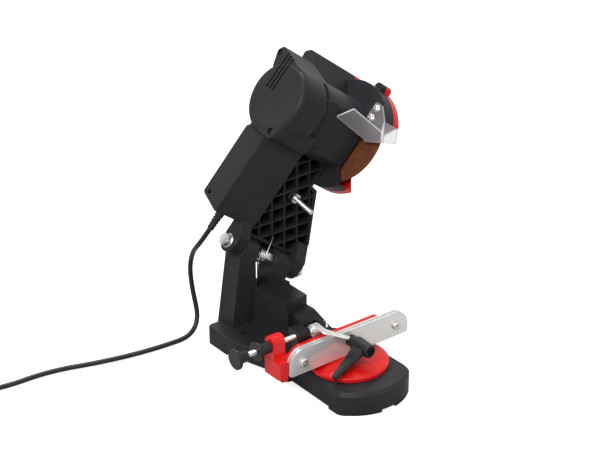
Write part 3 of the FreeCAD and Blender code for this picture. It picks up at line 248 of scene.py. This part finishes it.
# Black ABS: near black with a satin sheen; its 0.2 mm erosion is drawn at 1.1 mm so that it shows.
black_abs = moulded("black_eroded_abs", "#242427", "#39393d", 0.42, 1.1, 0.35, 0.12)
dress(black_abs, "base")

# The angle scale: moulded bars round the turntable, every 5 degrees and longer every 15.
# Part of the same ABS moulding as the base, standing 0.4 mm proud of the platform.

joints = {joint["name"]: joint for joint in frame["joints"]}
SCALE_CENTRE = Vector(joints["table_turn"]["pos_m"])
SCALE_END_DEG = 45
SCALE_STEP_DEG = 5
SCALE_LONG_DEG = 15
SCALE_INNER_R = 0.0444
SCALE_SHORT = 0.0022
SCALE_LONG = 0.0036
SCALE_HALF_WIDTH = 0.00035
SCALE_RISE = 0.0004
SCALE_FOOT = 0.0002
SCALE_DRAFT = 0.55


def piece(name, verts, faces, material, smooth=True):
    """A mesh object; smooth shades its four-sided faces as one round surface."""
    mesh = bpy.data.meshes.new(name)
    mesh.from_pydata([tuple(v) for v in verts], [], faces)
    for face in mesh.polygons:
        face.use_smooth = smooth and len(face.vertices) == 4
    mesh.materials.append(material)
    made = bpy.data.objects.new(name, mesh)
    scene.collection.objects.link(made)
    return made


bar_verts = []
bar_faces = []
for degrees in range(-SCALE_END_DEG, SCALE_END_DEG + 1, SCALE_STEP_DEG):
    out = Vector((math.sin(math.radians(degrees)), -math.cos(math.radians(degrees)), 0))
    beside = Vector((-out.y, out.x, 0))
    length = SCALE_LONG if degrees % SCALE_LONG_DEG == 0 else SCALE_SHORT
    first = len(bar_verts)
    for height, shrink in ((-SCALE_FOOT, 1.0), (SCALE_RISE, SCALE_DRAFT)):
        for reach, side in ((0, -1), (length, -1), (length, 1), (0, 1)):
            at = SCALE_CENTRE + out * (SCALE_INNER_R + reach) + beside * side * SCALE_HALF_WIDTH * shrink
            bar_verts.append(at + Vector((0, 0, height)))
    bar_faces.append(tuple(first + k for k in (3, 2, 1, 0)))
    bar_faces.append(tuple(first + k for k in (4, 5, 6, 7)))
    for k in range(4):
        after = (k + 1) % 4
        bar_faces.append((first + k, first + after, first + after + 4, first + k + 4))
angle_scale = piece("angle_scale", bar_verts, bar_faces, black_abs, smooth=False)
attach(angle_scale, "base")

# The swing pivot: an M8 bolt with washers and nuts through the two pillars and the arm's lugs.
# Zinc-plated steel, and over the bolt between the pillars a ground sleeve that the spring winds on.

PATCH_MM = 12.0
BROKEN_EDGE = 0.0004
STREAK_RELIEF = 0.0001


def metal(name, dark, light, rough, streak_mm, bump, stretch=(1, 1, 1), bare=1.0):
    """Worked metal: tone broken by the tool's streaks, gloss by handling, and edges just broken."""
    material, tree = blank(name)
    place = add(tree, "ShaderNodeTexCoord").outputs["Object"]
    run = add(tree, "ShaderNodeMapping", {"Vector": place, "Scale": stretch})
    streak = add(
        tree,
        "ShaderNodeTexNoise",
        {"Vector": run.outputs[0], "Scale": 1000 / streak_mm, "Detail": 4.0},
    )
    patch = add(tree, "ShaderNodeTexNoise", {"Vector": place, "Scale": 1000 / PATCH_MM, "Detail": 2.0})
    tone = add(tree, "ShaderNodeMapRange", {"Value": streak.outputs["Fac"], **NOISE_SPAN})
    colour = add(
        tree,
        "ShaderNodeMix",
        {0: tone.outputs[0], 6: linear(dark), 7: linear(light)},
        data_type="RGBA",
    )
    gloss = add(
        tree,
        "ShaderNodeMapRange",
        {"Value": patch.outputs["Fac"], **NOISE_SPAN, "To Min": rough * 0.75, "To Max": rough * 1.35},
    )
    round_edge = add(tree, "ShaderNodeBevel", {"Radius": BROKEN_EDGE}, samples=4)
    relief = add(
        tree,
        "ShaderNodeBump",
        {
            "Height": streak.outputs["Fac"],
            "Normal": round_edge.outputs[0],
            "Strength": bump,
            "Distance": STREAK_RELIEF,
        },
    )
    shell = add(
        tree,
        "ShaderNodeBsdfPrincipled",
        {
            "Base Color": colour.outputs[2],
            "Metallic": bare,
            "Roughness": gloss.outputs[0],
            "Normal": relief.outputs[0],
        },
    )
    add(tree, "ShaderNodeOutputMaterial", {"Surface": shell.outputs[0]})
    return material


# Bright zinc plate: pale, faintly cloudy silver; its crystals are drawn at 0.9 mm so that they show.
zinc = metal("zinc_plated_steel", "#bdbdba", "#e2e2de", 0.27, 0.9, 0.2)
dress(zinc, "pivot_bolt", "pivot_washers", "pivot_nuts")
# Ground steel: brighter and tighter; the wheel's fine marks are drawn at 0.6 mm so that they show.
ground = metal("ground_steel", "#c2c2c0", "#e4e4e2", 0.2, 0.6, 0.15, (1, 0.2, 0.2))
dress(ground, "spring_sleeve")

# The lift spring: one hard-drawn steel wire wound three turns round the sleeve between the pillars.
# Its lower leg stands on the spine and its upper leg leans on the arm, so it winds up as the head
# comes down.

PIVOT = Vector(joints["head_swing"]["pos_m"])
ACROSS = Vector(joints["head_swing"]["axis"])
BACK = Vector((0, 1, 0))
RISE = ACROSS.cross(BACK)
WIRE_D = 0.0018
WIRE_SIDES = 12
TURN_R = 0.0085
TURN_PITCH = 0.0026
TURNS = 3
STEPS_PER_TURN = 48
COIL_START = -0.0255
LEAVE_DEG = 9.0
UPPER_LEG = 0.024
BEND_DROP = 0.007
BEND_REACH = 0.006
BEND_STEPS = 8
SPINE_TOP = 0.0598


def tube(points, r, sides):
    """Vertices and faces of a closed round tube along a line of points."""
    verts = []
    faces = []
    ways = [(b - a).normalized() for a, b in zip(points, points[1:])]
    ways = [ways[0]] + [(a + b).normalized() for a, b in zip(ways, ways[1:])] + [ways[-1]]
    side = ways[0].orthogonal().normalized()
    for at, way in zip(points, ways):
        side = (side - way * side.dot(way)).normalized()
        other = way.cross(side)
        for k in range(sides):
            turn = 2 * math.pi * k / sides
            verts.append(at + (side * math.cos(turn) + other * math.sin(turn)) * r)
    for ring in range(len(points) - 1):
        for k in range(sides):
            a = ring * sides + k
            b = ring * sides + (k + 1) % sides
            faces.append((a, b, b + sides, a + sides))
    faces.append(tuple(reversed(range(sides))))
    faces.append(tuple(range((len(points) - 1) * sides, len(points) * sides)))
    return verts, faces


def round_pivot(along, turn):
    """Point on the spring's winding circle, turned up from straight forward."""
    return PIVOT + ACROSS * along + (RISE * math.sin(turn) - BACK * math.cos(turn)) * TURN_R


corner = round_pivot(COIL_START, 0) - RISE * BEND_DROP
below = corner - Vector((0, 0, BEND_REACH))
above = corner + RISE * BEND_REACH
wire_line = [Vector((corner.x, corner.y, SPINE_TOP)), below]
for k in range(1, BEND_STEPS):
    t = k / BEND_STEPS
    wire_line.append(below * (1 - t) ** 2 + corner * 2 * t * (1 - t) + above * t * t)
leave = 2 * math.pi * TURNS + math.radians(LEAVE_DEG)
for k in range(STEPS_PER_TURN * TURNS + 1):
    share = k / (STEPS_PER_TURN * TURNS)
    wire_line.append(round_pivot(COIL_START + TURN_PITCH * TURNS * share, leave * share))
leg_way = RISE * math.cos(leave) + BACK * math.sin(leave)
wire_line.append(wire_line[-1] + leg_way * UPPER_LEG)
# Drawn spring wire: grey and glossy; the die's fine lines are drawn at 0.7 mm so that they show.
spring_wire = metal("drawn_spring_wire", "#8f8e8b", "#c4c3bf", 0.25, 0.7, 0.15)
lift_spring = piece("lift_spring_wire", *tube(wire_line, WIRE_D / 2, WIRE_SIDES), spring_wire)
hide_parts("lift_spring")
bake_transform(lift_spring)

# The head: motor barrel, wiring box and lattice-ribbed arm in one black ABS moulding.
# An end cap with vent slots closes the motor and a flat cover the wiring box behind, both screwed on.

dress(black_abs, "head_body", "end_cap", "box_cover")
# Black oxide: steel nearly as dark as the plastic, glinting only along its edges.
oxide = metal("black_oxide_steel", "#1c1c1d", "#3a3a3c", 0.36, 0.8, 0.2)
dress(oxide, "cap_screws", "cover_screws")

# The mains switch: a rocker clipped into the back of the wiring box.
# Moulded nylon out of a polished mould, which leaves it smoother than the housing round it.

# Gloss nylon: deep black with small sharp highlights, mirroring more than the housing does.
gloss_black = moulded("gloss_black_nylon", "#0a0a0b", "#1d1d1f", 0.2, 1.4, 0.08, 0.45)
dress(gloss_black, "switch_body", "rocker")

# The motor: a brush motor's stator and armature in the barrel, with its fan, bearings and spindle.
# Stacked steel sheet, enamelled copper wire, brass brush holders and carbon; seen only through the vents.

# Stacked sheet: dull grey, lined every half millimetre across the spindle.
steel_sheet = metal("stacked_steel_sheet", "#5c5b5a", "#8a8886", 0.42, 0.5, 0.4, (1, 0.1, 0.1))
dress(steel_sheet, "stator", "armature")
# Enamelled copper: warm brown, glossy, broken up by the wires' own half-millimetre pitch.
copper = metal("enamelled_copper_wire", "#8a3a16", "#c9692f", 0.28, 0.5, 0.5)
dress(copper, "field_coils", "armature_winding", "commutator")
# Pressed brass: soft yellow, a little dulled by handling.
brass = metal("pressed_brass", "#a98742", "#d6b469", 0.3, 0.8, 0.2)
dress(brass, "brush_holders")
# Pressed carbon: dead black with a sooty skin.
carbon = moulded("pressed_carbon", "#0c0c0c", "#1d1d1d", 0.7, 0.8, 0.5)
dress(carbon, "brushes")
dress(gloss_black, "fan")
dress(ground, "bearings", "spindle")

# The grinding wheel: a 108 mm disc, 3.2 mm thick, on the spindle between two turned flanges and a nut.
# Brown resin-bonded abrasive, pressed and baked, with its grit standing out of the bond.

GRIT_MM = 1.1
BLOTCH_MM = 8.0
GRIT_RELIEF = 0.0003

# Bonded grit: dull rust brown, speckled pale and dark; its 0.25 mm grit is drawn at 1.1 mm so that it
# shows.
material, tree = blank("resin_bonded_abrasive")
place = add(tree, "ShaderNodeTexCoord").outputs["Object"]
grit = add(tree, "ShaderNodeTexVoronoi", {"Vector": place, "Scale": 1000 / GRIT_MM})
blotch = add(tree, "ShaderNodeTexNoise", {"Vector": place, "Scale": 1000 / BLOTCH_MM, "Detail": 5.0})
tone = add(
    tree,
    "ShaderNodeMath",
    {0: grit.outputs["Distance"], 1: blotch.outputs["Fac"]},
    operation="MULTIPLY",
)
spread = add(tree, "ShaderNodeMapRange", {"Value": tone.outputs[0], "From Min": 0.05, "From Max": 0.4})
colour = add(
    tree,
    "ShaderNodeMix",
    {0: spread.outputs[0], 6: linear("#3a1a09"), 7: linear("#733a14")},
    data_type="RGBA",
)
relief = add(
    tree,
    "ShaderNodeBump",
    {"Height": grit.outputs["Distance"], "Strength": 0.5, "Distance": GRIT_RELIEF},
)
disc = add(
    tree,
    "ShaderNodeBsdfPrincipled",
    {"Base Color": colour.outputs[2], "Roughness": 0.85, "Normal": relief.outputs[0]},
)
add(tree, "ShaderNodeOutputMaterial", {"Surface": disc.outputs[0]})
dress(material, "wheel")
dress(zinc, "inner_flange", "outer_flange", "wheel_nut")

# The wheel guard: a black half shell on the motor and a red cover on its outer side, held by three screws.
# Both are moulded ABS; the red one comes from a smoother mould, so it is glossier and deep in colour.

dress(black_abs, "guard_shell")
# Red ABS: strong warm red with soft wide highlights; its fine skin is drawn at 1.3 mm so that it shows.
red_abs = moulded("red_satin_abs", "#d8090c", "#ec3029", 0.3, 1.3, 0.1)
dress(red_abs, "guard_cover")
dress(oxide, "guard_screws")

# The spark visor: a wing on the guard and a skirt over the wheel, bent from one clear sheet.
# Two millimetre polycarbonate, sawn to shape and held by two bright screws and nuts.

SHEET_LIMIT = 0.003
JUST_INSIDE = 0.00001
CLEAR_SHARE = 0.86
HAZE_SHARE = 0.3
HAZE_ROUGH = 0.32
FROST_CLEAR_SHARE = 0.3
SMEAR_MM = 20.0
SAW_MARK_MM = 1.0
sheet = {"Base Color": linear("#dfdce1"), "IOR": 1.58}

# Clear polycarbonate: see-through, with a slightly milky cast where wiping has scratched it.
material, tree = blank("clear_polycarbonate")
place = add(tree, "ShaderNodeTexCoord").outputs["Object"]
smear = add(tree, "ShaderNodeTexNoise", {"Vector": place, "Scale": 1000 / SMEAR_MM, "Detail": 3.0})
gloss = add(tree, "ShaderNodeMapRange", {"Value": smear.outputs["Fac"], "To Min": 0.03, "To Max": 0.1})
clean = add(
    tree,
    "ShaderNodeBsdfPrincipled",
    {**sheet, "Roughness": gloss.outputs[0], "Transmission Weight": CLEAR_SHARE},
)
wiped = add(
    tree,
    "ShaderNodeBsdfPrincipled",
    {**sheet, "Roughness": HAZE_ROUGH, "Transmission Weight": CLEAR_SHARE},
)
hazy = add(tree, "ShaderNodeMixShader", {0: HAZE_SHARE, 1: clean.outputs[0], 2: wiped.outputs[0]})
add(tree, "ShaderNodeOutputMaterial", {"Surface": hazy.outputs[0]})
dress(material, "visor")

# Sawn polycarbonate: frosted, so it gathers the light and draws the sheet's outline in white; the saw's
# marks are drawn at 1 mm so that they show.
material, tree = blank("sawn_polycarbonate")
place = add(tree, "ShaderNodeTexCoord").outputs["Object"]
marks = add(tree, "ShaderNodeTexNoise", {"Vector": place, "Scale": 1000 / SAW_MARK_MM, "Detail": 3.0})
frost = add(tree, "ShaderNodeMapRange", {"Value": marks.outputs["Fac"], "To Min": 0.4, "To Max": 0.6})
edge = add(
    tree,
    "ShaderNodeBsdfPrincipled",
    {**sheet, "Roughness": frost.outputs[0], "Transmission Weight": FROST_CLEAR_SHARE},
)
add(tree, "ShaderNodeOutputMaterial", {"Surface": edge.outputs[0]})
visor_mesh = frame["nodes"]["visor"].data
visor_mesh.materials.append(material)
visor_faces = [tuple(face.vertices) for face in visor_mesh.polygons]
visor_solid = BVHTree.FromPolygons([v.co for v in visor_mesh.vertices], visor_faces)
# A face with more than the sheet's thickness behind it is a sawn edge.
for face in visor_mesh.polygons:
    behind = visor_solid.ray_cast(face.center - face.normal * JUST_INSIDE, -face.normal)[3]
    face.material_index = int(behind is None or behind > SHEET_LIMIT)
# Bright nickel: warm silver, smooth and a little uneven.
nickel = metal("bright_nickel_plate", "#cbc8c1", "#ece9e2", 0.24, 0.8, 0.03)
dress(nickel, "visor_screws", "visor_nuts")

# The depth stop: an M6 screw through the arm that sets how far the head comes down.
# Nickel-plated steel with a rolled thread, a zinc lock nut and a moulded knob behind the arm.

DEPTH_KNOB_AT = Vector(joints["depth_turn"]["pos_m"])
DEPTH_FORWARD = Vector(joints["depth_slide"]["axis"])
DEPTH_TIP = 0.079
DEPTH_TAIL = 0.006
DEPTH_R = 0.003
M6_PITCH = 0.001
THREAD_DEPTH = 0.00055
THREAD_SIDES = 20
STEPS_PER_PITCH = 4
LEAD_IN_SLOPE = 0.7


def threaded(start, end, r):
    """Vertices and faces of a screw whose crests reach radius r, with a tapered lead-in at both ends."""
    length = (end - start).length
    way = (end - start).normalized()
    side = way.orthogonal().normalized()
    other = way.cross(side)
    rings = round(length / M6_PITCH * STEPS_PER_PITCH)
    verts = []
    faces = []
    for ring in range(rings + 1):
        along = length * ring / rings
        lead_in = max(0.0, M6_PITCH - min(along, length - along))
        for k in range(THREAD_SIDES):
            phase = (along / M6_PITCH - k / THREAD_SIDES) % 1.0
            at_r = r - max(THREAD_DEPTH * abs(2 * phase - 1), lead_in * LEAD_IN_SLOPE)
            turn = 2 * math.pi * k / THREAD_SIDES
            out = side * math.cos(turn) + other * math.sin(turn)
            verts.append(start + way * along + out * at_r)
    for ring in range(rings):
        for k in range(THREAD_SIDES):
            a = ring * THREAD_SIDES + k
            b = ring * THREAD_SIDES + (k + 1) % THREAD_SIDES
            faces.append((a, b, b + THREAD_SIDES, a + THREAD_SIDES))
    faces.append(tuple(reversed(range(THREAD_SIDES))))
    faces.append(tuple(range(rings * THREAD_SIDES, (rings + 1) * THREAD_SIDES)))
    return verts, faces


depth_thread = threaded(
    DEPTH_KNOB_AT + DEPTH_FORWARD * DEPTH_TIP,
    DEPTH_KNOB_AT + DEPTH_FORWARD * DEPTH_TAIL,
    DEPTH_R,
)
depth_screw = piece("depth_screw_thread", *depth_thread, nickel)
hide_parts("depth_screw")
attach(depth_screw, "depth_stop")
dress(zinc, "depth_lock_nut")
# Satin nylon: black with a grey bloom; its skin, finer than the housing's, is drawn at 1.2 mm to show.
satin_black = moulded("satin_black_nylon", "#0c0c0d", "#222224", 0.34, 1.2, 0.2)
dress(satin_black, "depth_knob")

# The turntable: a domed disc with a wall, saddle and stop block for the vise, in one red ABS moulding.
# It turns on a steel stud through the platform and is held by a nylon knob underneath.

dress(red_abs, "turntable")
dress(zinc, "table_stud")
dress(satin_black, "lock_knob")

# The chain vise: two long plates that the saw chain stands between, drawn together by the clamp lever.
# Pressed from sheet steel, brushed along their length and bright plated; screws fix the rear plate.

# Bright plated sheet: pale and half mirror, with long brush lines that carry the red of the turntable.
plated = metal("bright_plated_sheet", "#e4e4e2", "#f2f2f0", 0.2, 1.2, 0.015, (0.1, 1, 1), 0.5)
dress(plated, "front_jaw", "rear_jaw")
dress(nickel, "jaw_screws")
dress(zinc, "clamp_stud", "vise_nuts")
dress(satin_black, "clamp_lever")
dress(oxide, "lever_screw")

# The chain stop: a pawl on a little carriage, and a long M6 screw with a knob that sets the tooth.
# The pawl is pressed from plated sheet, its carriage and knobs are nylon, and the screw is zinc plated.

dress(plated, "pawl")
dress(zinc, "pawl_bolt", "pawl_nut")
dress(satin_black, "stop_carriage", "adjust_knob", "stop_lock_nut")
adjust_low, adjust_high = (Vector(corner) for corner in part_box("adjust_screw"))
adjust_axis = (adjust_low + adjust_high) / 2
adjust_thread = threaded(
    Vector((adjust_low.x, adjust_axis.y, adjust_axis.z)),
    Vector((adjust_high.x, adjust_axis.y, adjust_axis.z)),
    (adjust_high.z - adjust_low.z) / 2,
)
adjust_screw = piece("adjust_screw_thread", *adjust_thread, zinc)
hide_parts("adjust_screw")
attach(adjust_screw, "adjuster")

# The mains lead: a round two-core lead out of the arm's strain relief, down behind the base and
# away to the left over the bench. The length that isn't needed is wound up with a tie, by its plug.

LEAD_D = 0.0055
LEAD_SIDES = 16
LEAD_LIES = 0.00355
LEAD_POINTS = [
    (-0.0529, 0.0699, 0.1522),
    (-0.0721, 0.0758, 0.1248),
    (-0.0640, 0.1080, 0.0975),
    (-0.0635, 0.1150, 0.0650),
    (-0.0635, 0.0930, LEAD_LIES),
    (-0.1260, 0.0940, LEAD_LIES),
    (-0.1840, 0.1050, LEAD_LIES),
    (-0.2400, 0.1240, LEAD_LIES),
]
LEAD_STEPS = 8
WOUND_AT = Vector((-0.3335, 0.1885, LEAD_LIES))
WOUND_INNER_R = 0.0225
WOUND_PITCH = 0.0063
WOUND_LIFT = 0.0061
WOUND_QUARTERS = (14, 13)
WOUND_START = math.radians(-103)
RUN_IN = 0.050
PLUG_LEAD = 0.024
STEPS_PER_QUARTER = 4


def wound_points():
    """Turns of the put-away lead: in along the bench, up in half a turn, and out on top."""
    inward, outward = WOUND_QUARTERS
    rate = WOUND_PITCH / 4
    outer = WOUND_INNER_R + inward * rate
    points = []
    for k in range((inward + 2 + outward) * STEPS_PER_QUARTER + 1):
        quarter = k / STEPS_PER_QUARTER
        turn = WOUND_START - math.pi / 2 * quarter
        climb = min(max((quarter - inward) / 2, 0), 1)
        r = max(outer - rate * quarter, WOUND_INNER_R) + rate * max(quarter - inward - 2, 0)
        lift = WOUND_LIFT * (climb * climb * (3 - 2 * climb))
        points.append(WOUND_AT + Vector((math.cos(turn) * r, math.sin(turn) * r, lift)))
    return points


turns = wound_points()
arrive = (turns[1] - turns[0]).normalized()
depart = (turns[-1] - turns[-2]).normalized()
route = [Vector(p) for p in LEAD_POINTS] + [turns[0] - arrive * RUN_IN] + turns
route += [turns[-1] + depart * PLUG_LEAD / 2, turns[-1] + depart * PLUG_LEAD]
line = bpy.data.curves.new("lead_line", "CURVE")
line.dimensions = "3D"
line.resolution_u = LEAD_STEPS
spline = line.splines.new("NURBS")
spline.points.add(len(route) - 1)
for point, at in zip(spline.points, route):
    point.co = (*at, 1.0)
spline.order_u = 3
spline.use_endpoint_u = True
line_object = bpy.data.objects.new("lead_line", line)
scene.collection.objects.link(line_object)
bpy.context.view_layer.update()
followed = bpy.data.meshes.new_from_object(line_object)
lead_path = [v.co.copy() for v in followed.vertices]
bpy.data.objects.remove(line_object)
# PVC sheath: black, slightly waxy, with a faint orange-peel skin.
lead_pvc = moulded("black_pvc_sheath", "#0c0c0d", "#202022", 0.38, 1.5, 0.15)
lead = piece("mains_lead", *tube(lead_path, LEAD_D / 2, LEAD_SIDES), lead_pvc)
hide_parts("cord_free", "cord_coil")
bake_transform(lead)
dress(lead_pvc, "strain_relief", "cord_tie", "plug_body")
dress(nickel, "plug_pins")
